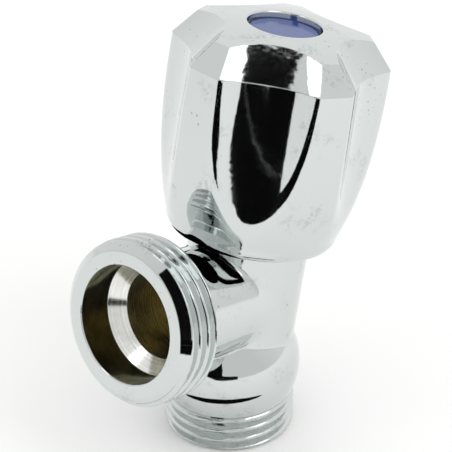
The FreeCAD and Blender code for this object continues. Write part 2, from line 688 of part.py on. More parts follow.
def make_knob_shell():
    """Hollow knob: lofted five-lobed skirt, sloped facets, domed top, hub and ribs."""
    body = new_body("knob_shell")
    outer = [
        (dim.knob_base, dim.knob_base_radius, dim.knob_base_radius),
        (dim.knob_heel, dim.knob_heel_lobe, dim.knob_heel_face),
        (dim.knob_low, dim.knob_low_lobe, dim.knob_low_face),
        (dim.knob_waist, dim.knob_waist_lobe, dim.knob_waist_face),
        (dim.knob_shoulder, dim.knob_shoulder_lobe, dim.knob_shoulder_face),
        (dim.knob_rim, dim.knob_rim_lobe, dim.knob_rim_face),
    ]
    loft_sections(body, "skirt", outer)
    crown = new_sketch(body, "crown_outline", "XY_Plane", height=dim.knob_crown)
    draw_lobed_section(crown, dim.knob_crown_lobe, dim.knob_crown_face, dim.crown_half_angle)
    facets = body.newObject("PartDesign::AdditiveLoft", "knob_shell_facets")
    facets.Profile = doc.getObject(f"knob_shell_skirt_{len(outer) - 1}")
    facets.Sections = [crown]
    facets.Ruled = True
    doc.recompute()
    above = dim.knob_crown + 1.0
    edge = dim.knob_rim_lobe
    drop = edge * edge / (dim.dome_radius * 2)
    half_drop = edge * edge / (dim.dome_radius * 8)
    turn_profile(body, "dome", [
        (ZERO, dim.dome_top),
        (edge, dim.dome_top - drop),
        (edge, above),
        (ZERO, above),
    ], cut=True, bends={0: (edge / 2, dim.dome_top - half_drop)})
    round_edges(body, "edge_rounding", dim.knob_edge_radius, is_lobe_edge)
    round_edges(body, "mouth_rounding", dim.knob_mouth_edge, is_mouth_edge)
    mouth_radius = dim.knob_base_radius - dim.knob_mouth_wall
    hollow = [
        (dim.knob_base, mouth_radius, mouth_radius),
        (dim.knob_heel, dim.knob_heel_lobe - dim.knob_wall, dim.knob_heel_face - dim.knob_wall),
        (dim.knob_low, dim.knob_low_lobe - dim.knob_wall, dim.knob_low_face - dim.knob_wall),
        (dim.knob_waist, dim.knob_waist_lobe - dim.knob_wall, dim.knob_waist_face - dim.knob_wall),
        (dim.knob_shoulder, dim.knob_shoulder_lobe - dim.knob_wall, dim.knob_shoulder_face - dim.knob_wall),
        (dim.knob_ceiling, dim.knob_rim_lobe - dim.knob_wall, dim.knob_rim_face - dim.knob_wall),
    ]
    loft_sections(body, "hollow", hollow, cut=True)
    hub = new_sketch(body, "hub_outline", "XY_Plane", height=hub_base)
    draw_circle(hub, dim.hub_radius)
    extrude(body, hub, "hub", dim.knob_rim - hub_base)
    rib = new_sketch(body, "rib_outline", "XY_Plane", height=dim.knob_ceiling - dim.rib_height)
    half = dim.rib_thickness / 2
    inner = dim.hub_radius * 0.8
    tip = dim.knob_waist_lobe - dim.knob_wall * 0.6
    draw_outline(rib, [(-half, -inner), (-half, -tip), (half, -tip), (half, -inner)])
    rib_feature = extrude(body, rib, "rib", dim.knob_rim - dim.knob_ceiling + dim.rib_height)
    repeat_around(body, rib_feature, "ribs", LOBES)
    turn_profile(body, "axis_bore", [
        (ZERO, hub_base),
        (dim.socket_radius, hub_base),
        (dim.socket_radius, hub_web_base),
        (dim.knob_screw_radius + dim.screw_clearance, hub_web_base),
        (dim.knob_screw_radius + dim.screw_clearance, hub_web_top),
        (dim.head_recess_radius, hub_web_top),
        (dim.head_recess_radius, dim.cap_ledge),
        (dim.cap_hole_radius, dim.cap_ledge),
        (dim.cap_hole_radius, above),
        (ZERO, above),
    ], cut=True)
    return body


def is_lobe_edge(edge):
    """Whether an edge runs up the side of a lobe on the skirt."""
    ends = sorted(spot.Point.z for spot in edge.Vertexes)
    return len(ends) == 2 and ends[1] - ends[0] > 4.0 and ends[1] < dim.knob_rim.number + 0.01


def is_mouth_edge(edge):
    """Whether an edge lies in the plane of the knob's lower edge."""
    return all(abs(spot.Point.z - dim.knob_base.number) < 0.01 for spot in edge.Vertexes)


def loft_sections(body, name, sections, cut=False):
    """Smooth loft through lobed sections given as (height, lobe radius, face radius)."""
    sketches = []
    for index, (height, lobe, face) in enumerate(sections):
        sketch = new_sketch(body, f"{name}_{index}", "XY_Plane", height=height)
        draw_lobed_section(sketch, lobe, face, dim.lobe_half_angle)
        sketches.append(sketch)
    kind = "PartDesign::SubtractiveLoft" if cut else "PartDesign::AdditiveLoft"
    loft = body.newObject(kind, f"{body.Label}_{name}")
    loft.Profile = sketches[0]
    loft.Sections = sketches[1:]
    doc.recompute()
    return loft


def make_spline_adapter():
    """Splined bush pressed into the knob's hub."""
    body = new_body("spline_adapter")
    crest = dim.spline_radius - dim.spline_depth + dim.running_clearance
    turn_profile(body, "bush", ring(hub_base, hub_web_base - dim.screwed_clearance, crest,
                                    dim.socket_radius - dim.screwed_clearance))
    tooth = new_sketch(body, "tooth_outline", "XY_Plane", height=hub_base)
    step = as_size(360) / dim.spline_teeth
    reach = dim.spline_radius + dim.running_clearance
    inside = crest * 0.9
    wide = inside * sine(step * 0.78)
    narrow = reach * sine(step * 0.2)
    turned = step / 2
    corners = [(-wide, inside), (-narrow, reach), (narrow, reach), (wide, inside)]
    across = cosine(turned)
    along = sine(turned)
    corners = [(x * across - y * along, x * along + y * across) for x, y in corners]
    draw_outline(tooth, corners)
    gap = extrude(body, tooth, "tooth_room", hub_web_base - hub_base, cut=True)
    repeat_around(body, gap, "spline", dim.spline_teeth)
    return body


def make_knob_screw():
    """Screw through the hub's web into the spindle."""
    body = new_body("knob_screw")
    head_top = hub_web_top + dim.knob_screw_head_height
    turn_profile(body, "blank", shaft_outline([
        (dim.knob_screw_radius, spindle_top - dim.knob_screw_reach, hub_web_top),
        (dim.knob_screw_head, hub_web_top, head_top),
    ], dim.edge_break))
    cut_slot(body, "slot", head_top, dim.knob_screw_head, False)
    return body


def make_index_cap():
    """Blue cap: disc with a broken edge and a ring that plugs the recess."""
    body = new_body("index_cap")
    outer = dim.cap_hole_radius - dim.cap_clearance
    top = dim.cap_ledge + dim.cap_thickness
    plug = dim.head_recess_radius - dim.cap_clearance
    turn_profile(body, "disc", [
        (ZERO, dim.cap_ledge),
        (outer, dim.cap_ledge),
        (outer, top - dim.edge_break),
        (outer - dim.edge_break, top),
        (ZERO, top),
    ])
    plug_base = dim.cap_ledge - dim.cap_plug_depth
    turn_profile(body, "plug", ring(plug_base, dim.cap_ledge, plug - dim.cap_plug_wall, plug))
    return body


PARTS = [
    make_valve_body(),
    make_bonnet(),
    make_bonnet_gasket(),
    make_spindle(),
    make_spindle_ring("spindle_o_ring_lower", ring_lower),
    make_spindle_ring("spindle_o_ring_upper", ring_upper),
    make_thrust_washer(),
    make_spindle_circlip(),
    make_plunger(),
    make_seat_washer(),
    make_washer_screw(),
    make_knob_shell(),
    make_spline_adapter(),
    make_knob_screw(),
    make_index_cap(),
]

doc.recompute()
for item in doc.Objects:
    if "Invalid" in item.State or "Error" in item.State:
        raise RuntimeError(f"{item.Name} did not build: {item.State}")
os.makedirs("parts", exist_ok=True)
for part in PARTS:
    if part.Shape.isNull() or not part.Shape.isValid() or len(part.Shape.Solids) != 1:
        raise RuntimeError(f"{part.Label} is not one valid solid")
    part.Shape.exportStep(f"parts/{part.Label}.step")
    box = part.Shape.BoundBox
    corners = (box.XMin, box.XMax, box.YMin, box.YMax, box.ZMin, box.ZMax)
    print(part.Label, round(part.Shape.Volume, 1), [round(value, 2) for value in corners])
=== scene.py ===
import logging
import math
from dataclasses import dataclass, field
from enum import Enum
from typing import Any

import bmesh
import bpy
import numpy as np
from mathutils import Matrix, Vector


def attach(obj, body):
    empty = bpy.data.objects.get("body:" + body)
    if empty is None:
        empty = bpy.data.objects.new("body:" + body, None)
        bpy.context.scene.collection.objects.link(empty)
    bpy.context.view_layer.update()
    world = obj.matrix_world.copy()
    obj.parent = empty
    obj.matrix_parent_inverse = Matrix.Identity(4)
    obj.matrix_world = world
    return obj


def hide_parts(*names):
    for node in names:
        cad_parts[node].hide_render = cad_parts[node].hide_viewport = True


# A chromed angle valve for a washing machine hose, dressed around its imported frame.
# Sizes in the classes are millimetres in the valve's own frame; meshes are made in metres.

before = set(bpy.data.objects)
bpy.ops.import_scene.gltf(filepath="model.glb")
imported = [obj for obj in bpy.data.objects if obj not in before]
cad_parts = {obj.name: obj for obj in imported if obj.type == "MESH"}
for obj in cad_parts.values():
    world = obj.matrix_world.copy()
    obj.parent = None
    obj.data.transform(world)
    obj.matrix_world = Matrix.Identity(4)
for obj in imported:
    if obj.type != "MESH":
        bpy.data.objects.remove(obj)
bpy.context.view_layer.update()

MM = 0.001
SLIVER = 0.002 * MM
SAME_POINT = 0.0001 * MM
HAIR = 0.01
LOG = logging.getLogger("valve")
LEAN = math.radians(12.5)
Triple = tuple[float, float, float]


def linear(code: str) -> tuple[float, float, float, float]:
    """Turn an sRGB hex colour into linear values.

    Args:
        code: Six hex digits.

    Returns:
        Red, green, blue and alpha for a shader socket.
    """
    parts = [int(code[start:start + 2], 16) / 255 for start in (0, 2, 4)]
    low = [value / 12.92 if value <= 0.04045 else ((value + 0.055) / 1.055) ** 2.4 for value in parts]
    return (low[0], low[1], low[2], 1.0)


def add_node(
    tree: bpy.types.NodeTree,
    kind: str,
    settings: dict[str, Any] | None = None,
    inputs: dict[str | int, Any] | None = None,
) -> bpy.types.Node:
    """Add a node, set its properties, and fill or link its inputs.

    Args:
        tree: Node tree that takes the node.
        kind: Node type name.
        settings: Properties of the node.
        inputs: Input name or number to a value, or to an output socket that is linked.

    Returns:
        The new node.
    """
    node = tree.nodes.new(kind)
    for name, value in (settings or {}).items():
        setattr(node, name, value)
    for name, value in (inputs or {}).items():
        if isinstance(value, bpy.types.NodeSocket):
            tree.links.new(value, node.inputs[name])
        else:
            node.inputs[name].default_value = value
    return node


def start_material(name: str) -> tuple[bpy.types.Material, bpy.types.NodeTree, bpy.types.NodeSocket]:
    """Make an empty material.

    Args:
        name: Name of the material.

    Returns:
        The material, its node tree, and the socket that gives places on the object in metres.
    """
    material = bpy.data.materials.new(name)
    material.use_nodes = True
    tree = material.node_tree
    tree.nodes.clear()
    return material, tree, add_node(tree, "ShaderNodeTexCoord").outputs["Object"]


def per_mm(size: float) -> float:
    """Texture scale that gives features of a size in millimetres."""
    return 1.0 / (size * MM)


def put_in_scene(name: str, data: bpy.types.ID) -> bpy.types.Object:
    """Make an object of a mesh, a lamp or a camera and link it to the scene.

    Args:
        name: Name of the object.
        data: The mesh, the lamp or the camera.

    Returns:
        The object.
    """
    thing = bpy.data.objects.new(name, data)
    bpy.context.scene.collection.objects.link(thing)
    return thing


@dataclass(frozen=True)
class AxisFrame:
    """A turning axis: its start, its direction and the direction of angle zero."""

    origin: Triple
    along: Triple
    zero: Triple

    def basis(self) -> tuple[np.ndarray, np.ndarray, np.ndarray]:
        """Give the directions that places about the axis are measured in.

        Returns:
            Directions of angle zero, of a quarter turn and of the axis.
        """
        along = np.array(self.along)
        zero = np.array(self.zero)
        return zero, np.cross(along, zero), along

    def points(self, radius: np.ndarray, height: np.ndarray, angle: np.ndarray) -> np.ndarray:
        """Points around the axis.

        Args:
            radius: Distances from the axis.
            height: Heights along the axis.
            angle: Angles in radians.

        Returns:
            Points with three coordinates each.
        """
        zero, quarter, along = self.basis()
        radius, height, angle = np.broadcast_arrays(radius, height, angle)
        spread = np.cos(angle)[..., None] * zero + np.sin(angle)[..., None] * quarter
        return np.array(self.origin) + radius[..., None] * spread + height[..., None] * along

    def spot(self, height: float) -> np.ndarray:
        """Point on the axis itself."""
        return np.array(self.origin) + height * np.array(self.along)

    def read(self, points: np.ndarray) -> tuple[np.ndarray, np.ndarray]:
        """Read where points lie about the axis.

        Args:
            points: Points with three coordinates each.

        Returns:
            Their radii and their heights.
        """
        offset = points - np.array(self.origin)
        height = offset @ np.array(self.along)
        radius = np.linalg.norm(offset - height[..., None] * np.array(self.along), axis=-1)
        return radius, height


INLET_LENGTH = 11.5
OUTLET_HEIGHT = 12.1
SPINDLE_DIRECTION = (0.0, math.sin(LEAN), math.cos(LEAN))
OUTLET_DIRECTION = (0.0, -math.cos(LEAN), math.sin(LEAN))
INLET_AXIS = AxisFrame((0.0, 0.0, 0.0), (0.0, 0.0, 1.0), (1.0, 0.0, 0.0))
SPINDLE_AXIS = AxisFrame((0.0, 0.0, INLET_LENGTH), SPINDLE_DIRECTION, (1.0, 0.0, 0.0))
OUTLET_AXIS = AxisFrame(
    (0.0, OUTLET_HEIGHT * math.sin(LEAN), INLET_LENGTH + OUTLET_HEIGHT * math.cos(LEAN)),
    OUTLET_DIRECTION,
    SPINDLE_DIRECTION,
)


@dataclass(frozen=True)
class Corner:
    """A corner of a turned outline: its radius, its height and how far it is rounded."""

    radius: float
    height: float
    rounding: float = 0.0


def soften(corners: list[Corner], steps: int = 4) -> np.ndarray:
    """Round the corners of a turned outline.

    Args:
        corners: Outline from one end of the axis to the other.
        steps: Points in each rounded corner.

    Returns:
        Rows of radius and height.
    """
    rows: list[np.ndarray] = []
    spots = [np.array((corner.radius, corner.height)) for corner in corners]
    for index, corner in enumerate(corners):
        here = spots[index]
        if corner.rounding <= 0 or index in (0, len(corners) - 1):
            rows.append(here)
            continue
        back = spots[index - 1] - here
        ahead = spots[index + 1] - here
        start = here + back / np.linalg.norm(back) * corner.rounding
        finish = here + ahead / np.linalg.norm(ahead) * corner.rounding
        for step in range(steps + 1):
            part = step / steps
            rows.append((1 - part) ** 2 * start + 2 * part * (1 - part) * here + part ** 2 * finish)
    return np.array(rows)


def refine(rows: np.ndarray, low: float, high: float, spacing: float) -> np.ndarray:
    """Add rows to an outline where it runs through a span of heights.

    Args:
        rows: Rows of radius and height.
        low: Lower end of the span.
        high: Upper end of the span.
        spacing: Largest step between rows in the span.

    Returns:
        The outline with the added rows.
    """
    finer = [rows[0]]
    for start, finish in zip(rows[:-1], rows[1:]):
        inside = max(start[1], finish[1]) > low and min(start[1], finish[1]) < high
        length = np.linalg.norm(finish - start)
        count = max(1, int(math.ceil(length / spacing))) if inside else 1
        finer.extend(start + (finish - start) * (step / count) for step in range(1, count + 1))
    return np.array(finer)


@dataclass(frozen=True)
class PipeThread:
    """A right-hand pipe thread with rounded crests and roots, 14 turns to the inch."""

    crest_radius: float
    first_crest: float
    start: float
    end: float
    run_out: float = 1.3
    run_in: float = 0.2
    pitch: float = 1.814
    depth: float = 1.162
    crest_share: float = 0.09

    def groove(self, height: np.ndarray, angle: np.ndarray) -> np.ndarray:
        """Depth of the groove below the crests.

        Args:
            height: Heights along the axis.
            angle: Angles in radians.

        Returns:
            Depths in millimetres.
        """
        turn = (height - self.first_crest) / self.pitch - angle / (2 * math.pi)
        away = np.abs(turn - np.round(turn))
        flank = np.clip((away - self.crest_share) / (0.5 - 2 * self.crest_share), 0, 1)
        shape = 0.5 * flank + 0.25 * (1 - np.cos(math.pi * flank))
        fade = np.clip((self.end - height) / self.run_out, 0, 1)
        fade = fade * np.clip((height - self.start) / self.run_in, 0, 1)
        return self.depth * shape * fade


def mesh_from_rings(name: str, rings: np.ndarray, first: np.ndarray, last: np.ndarray) -> bpy.types.Object:
    """Make a closed mesh from rings of points and a point at each end.

    Args:
        name: Name of the object.
        rings: Array of rings, points and coordinates in millimetres.
        first: Point that closes the first ring.
        last: Point that closes the last ring.

    Returns:
        The object, linked to the scene.
    """
    count, around = rings.shape[:2]
    points = np.concatenate([rings.reshape(-1, 3), first[None], last[None]]) * MM
    grid = np.arange(count * around).reshape(count, around)
    ahead = np.roll(grid, -1, axis=1)
    faces = np.stack([grid[:-1], ahead[:-1], ahead[1:], grid[1:]], axis=-1).reshape(-1, 4).tolist()
    head, tail, top = count * around, count * around + 1, (count - 1) * around
    for here, following in zip(grid[0].tolist(), ahead[0].tolist()):
        faces.append([head, following, here])
        faces.append([tail, top + here, top + following])
    mesh = bpy.data.meshes.new(name)
    mesh.from_pydata(points.tolist(), [], faces)
    return put_in_scene(name, mesh)


def turn_solid(
    name: str,
    axis: AxisFrame,
    rows: np.ndarray,
    around: int,
    thread: PipeThread | None = None,
) -> bpy.types.Object:
    """Turn an outline about an axis, with a thread cut where it is given.

    Args:
        name: Name of the object.
        axis: Axis of the turning.
        rows: Rows of radius and height; the first and last lie on the axis.
        around: Points in a full turn.
        thread: Thread that the outline carries.

    Returns:
        The closed solid.
    """
    angle = np.linspace(0, 2 * math.pi, around, endpoint=False)[None, :]
    radius, height = rows[1:-1].T[..., None]
    if thread:
        cut = thread.crest_radius - thread.groove(height, angle)
        inside = (height > thread.start) & (height < thread.end)
        radius = np.where(inside, np.minimum(radius, cut), radius)
    rings = axis.points(radius, height, angle)
    return mesh_from_rings(name, rings, axis.spot(rows[0][1]), axis.spot(rows[-1][1]))


class Cut(Enum):
    """How one solid acts on another."""

    JOIN = "UNION"
    REMOVE = "DIFFERENCE"


def combine(solid: bpy.types.Object, tool: bpy.types.Object, cut: Cut) -> None:
    """Join a tool to a solid or remove it, and delete the tool.

    Args:
        solid: Solid that is changed.
        tool: Solid that acts on it.
        cut: What the tool does.
    """
    modifier = solid.modifiers.new("cut", "BOOLEAN")
    modifier.operation = cut.value
    modifier.solver = "MANIFOLD"
    modifier.object = tool
    graph = bpy.context.evaluated_depsgraph_get()
    mesh = bpy.data.meshes.new_from_object(solid.evaluated_get(graph))
    old = solid.data
    solid.modifiers.clear()
    solid.data = mesh
    bpy.data.meshes.remove(old)
    tool_mesh = tool.data
    bpy.data.objects.remove(tool)
    bpy.data.meshes.remove(tool_mesh)


def shade(thing: bpy.types.Object, degrees: float) -> None:
    """Remove a mesh's faces that have no area, then shade it smooth between its sharp edges.

    Args:
        thing: Object whose mesh is shaded.
        degrees: Edges steeper than this stay sharp.
    """
    work = bmesh.new()
    work.from_mesh(thing.data)
    bmesh.ops.remove_doubles(work, verts=work.verts, dist=SLIVER)
    bmesh.ops.dissolve_degenerate(work, dist=SLIVER, edges=work.edges)
    bmesh.ops.triangulate(work, faces=[face for face in work.faces if len(face.verts) > 4])
    work.to_mesh(thing.data)
    work.free()
    thing.data.shade_smooth()
    thing.data.set_sharp_from_angle(angle=math.radians(degrees))


@dataclass(frozen=True)
class PolishedChrome:
    """Bright chrome plate: a near mirror, faintly wavy from the polishing wheel, with a few pits.

    The plate reflects about two thirds of the light, a little cold. The waves bend the edges of
    reflections, the pits show as fine dark specks, and handling leaves speckled grey smears.
    The grain of the polish is too fine to show, so it is drawn half a millimetre wide.
    """

    name: str
    tint: str = "D1D6D5"
    pit_tint: str = "A6AAA7"
    roughness: float = 0.045
    wave_mm: float = 2.4
    wave_height_mm: float = 0.009
    grain_mm: float = 0.5
    grain_height_mm: float = 0.0012
    pit_mm: float = 1.1
    pit_share: float = 0.17
    patch_mm: float = 9.0
    smear_tint: str = "B1B5B3"
    smear_mm: float = 5.0
    speckle_mm: float = 0.7
    edge_mm: float = 0.22

    def build(self) -> bpy.types.Material:
        """Make the material.

        Returns:
            The material, ready to put on a mesh.
        """
        material, tree, place = start_material(self.name)
        wave, grain, patch, smear, speckle = (
            add_node(tree, "ShaderNodeTexNoise", inputs={
                "Vector": place, "Scale": per_mm(size), "Detail": detail, "Roughness": roughness,
            }).outputs["Fac"]
            for size, detail, roughness in (
                (self.wave_mm, 2.0, 0.5), (self.grain_mm, 3.0, 0.6), (self.patch_mm, 1.0, 0.5),
                (self.smear_mm, 2.0, 0.5), (self.speckle_mm, 4.0, 0.7),
            )
        )
        pits = add_node(tree, "ShaderNodeTexVoronoi", {"feature": "F1"}, {
            "Vector": place, "Scale": per_mm(self.pit_mm), "Randomness": 1.0,
        })
        few = add_node(tree, "ShaderNodeMapRange", inputs={
            "Value": patch, "From Min": 0.5, "From Max": 0.7, "To Min": 0.0, "To Max": self.pit_share,
        })
        pit = add_node(tree, "ShaderNodeMath", {"operation": "LESS_THAN"}, {
            0: pits.outputs["Distance"], 1: few.outputs["Result"],
        })
        smeared = add_node(tree, "ShaderNodeMapRange", inputs={
            "Value": smear, "From Min": 0.56, "From Max": 0.74,
        })
        speckled = add_node(tree, "ShaderNodeMapRange", inputs={
            "Value": speckle, "From Min": 0.46, "From Max": 0.62,
        })
        worn = add_node(tree, "ShaderNodeMath", {"operation": "MULTIPLY"}, {
            0: smeared.outputs["Result"], 1: speckled.outputs["Result"],
        })
        plate = add_node(tree, "ShaderNodeMix", {"data_type": "RGBA"}, {
            "Factor": worn.outputs[0], 6: linear(self.tint), 7: linear(self.smear_tint),
        })
        colour = add_node(tree, "ShaderNodeMix", {"data_type": "RGBA"}, {
            "Factor": pit.outputs[0], 6: plate.outputs[2], 7: linear(self.pit_tint),
        })
        rough = add_node(tree, "ShaderNodeMapRange", inputs={
            "Value": grain, "From Min": 0.3, "From Max": 0.8,
            "To Min": self.roughness * 0.6, "To Max": self.roughness * 1.6,
        })
        edge = add_node(tree, "ShaderNodeBevel", {"samples": 6}, {"Radius": self.edge_mm * MM})
        wavy = add_node(tree, "ShaderNodeBump", inputs={
            "Strength": 1.0, "Distance": self.wave_height_mm * MM, "Height": wave,
            "Normal": edge.outputs["Normal"],
        })
        grainy = add_node(tree, "ShaderNodeBump", inputs={
            "Strength": 1.0, "Distance": self.grain_height_mm * MM, "Height": grain,
            "Normal": wavy.outputs["Normal"],
        })
        shader = add_node(tree, "ShaderNodeBsdfPrincipled", inputs={
            "Metallic": 1.0, "Base Color": colour.outputs[2], "Roughness": rough.outputs["Result"],
            "Normal": grainy.outputs["Normal"],
        })
        add_node(tree, "ShaderNodeOutputMaterial", inputs={"Surface": shader.outputs["BSDF"]})
        return material


@dataclass(frozen=True)
class TurnedMetal:
    """Bare or thinly plated metal as the lathe left it: fine rings around an axis.

    The rings stretch highlights across themselves, and the cut shows streaks of light and dark.
    A lathe leaves rings of about a tenth of a millimetre; they are drawn twice as wide, to show.
    """

    name: str
    axis: AxisFrame
    light: str = "B9A469"
    dark: str = "6E5F33"
    roughness: float = 0.28
    ring_mm: float = 0.22
    ring_height_mm: float = 0.002
    cloud_mm: float = 3.0
    anisotropy: float = 0.6

    def build(self) -> bpy.types.Material:
        """Make the material.

        Returns:
            The material, ready to put on a mesh.
        """
        material, tree, place = start_material(self.name)
        along = add_node(tree, "ShaderNodeVectorMath", {"operation": "DOT_PRODUCT"}, {
            0: place, 1: self.axis.along,
        })
        rings = add_node(tree, "ShaderNodeTexNoise", {"noise_dimensions": "1D"}, {
            "W": along.outputs["Value"], "Scale": per_mm(self.ring_mm), "Detail": 4.0, "Roughness": 0.65,
        })
        cloud = add_node(tree, "ShaderNodeTexNoise", inputs={
            "Vector": place, "Scale": per_mm(self.cloud_mm), "Detail": 4.0, "Roughness": 0.6,
        })
        blend = add_node(tree, "ShaderNodeMath", {"operation": "MULTIPLY"}, {
            0: rings.outputs["Fac"], 1: cloud.outputs["Fac"],
        })
        share = add_node(tree, "ShaderNodeMapRange", inputs={
            "Value": blend.outputs[0], "From Min": 0.15, "From Max": 0.4,
        })
        colour = add_node(tree, "ShaderNodeMix", {"data_type": "RGBA"}, {
            "Factor": share.outputs["Result"], 6: linear(self.dark), 7: linear(self.light),
        })
        rough = add_node(tree, "ShaderNodeMapRange", inputs={
            "Value": rings.outputs["Fac"], "From Min": 0.3, "From Max": 0.7,
            "To Min": self.roughness * 0.75, "To Max": self.roughness * 1.3,
        })
        bump = add_node(tree, "ShaderNodeBump", inputs={
            "Strength": 1.0, "Distance": self.ring_height_mm * MM, "Height": rings.outputs["Fac"],
        })
        shader = add_node(tree, "ShaderNodeBsdfPrincipled", inputs={
            "Metallic": 1.0, "Base Color": colour.outputs[2], "Roughness": rough.outputs["Result"],
            "Anisotropic": self.anisotropy, "Normal": bump.outputs["Normal"],
        })
        add_node(tree, "ShaderNodeOutputMaterial", inputs={"Surface": shader.outputs["BSDF"]})
        return material


@dataclass(frozen=True)
class Moulded:
    """A moulded or pressed non-metal: an even colour with a soft mottle and a fine surface texture."""

    name: str
    light: str
    dark: str
    roughness: float
    ior: float = 1.5
    mottle_mm: float = 2.0
    texture_mm: float = 0.25
    texture_height_mm: float = 0.004

    def build(self) -> bpy.types.Material:
        """Make the material.

        Returns:
            The material, ready to put on a mesh.
        """
        material, tree, place = start_material(self.name)
        mottle = add_node(tree, "ShaderNodeTexNoise", inputs={
            "Vector": place, "Scale": per_mm(self.mottle_mm), "Detail": 4.0, "Roughness": 0.6,
        })
        texture = add_node(tree, "ShaderNodeTexNoise", inputs={
            "Vector": place, "Scale": per_mm(self.texture_mm), "Detail": 2.0,
        })
        share = add_node(tree, "ShaderNodeMapRange", inputs={
            "Value": mottle.outputs["Fac"], "From Min": 0.3, "From Max": 0.7,
        })
        colour = add_node(tree, "ShaderNodeMix", {"data_type": "RGBA"}, {
            "Factor": share.outputs["Result"], 6: linear(self.dark), 7: linear(self.light),
        })
        rough = add_node(tree, "ShaderNodeMapRange", inputs={
            "Value": texture.outputs["Fac"], "From Min": 0.3, "From Max": 0.7,
            "To Min": self.roughness * 0.85, "To Max": self.roughness * 1.15,
        })
        bump = add_node(tree, "ShaderNodeBump", inputs={
            "Strength": 1.0, "Distance": self.texture_height_mm * MM, "Height": texture.outputs["Fac"],
        })
        shader = add_node(tree, "ShaderNodeBsdfPrincipled", inputs={
            "Base Color": colour.outputs[2], "Roughness": rough.outputs["Result"], "IOR": self.ior,
            "Normal": bump.outputs["Normal"],
        })
        add_node(tree, "ShaderNodeOutputMaterial", inputs={"Surface": shader.outputs["BSDF"]})
        return material


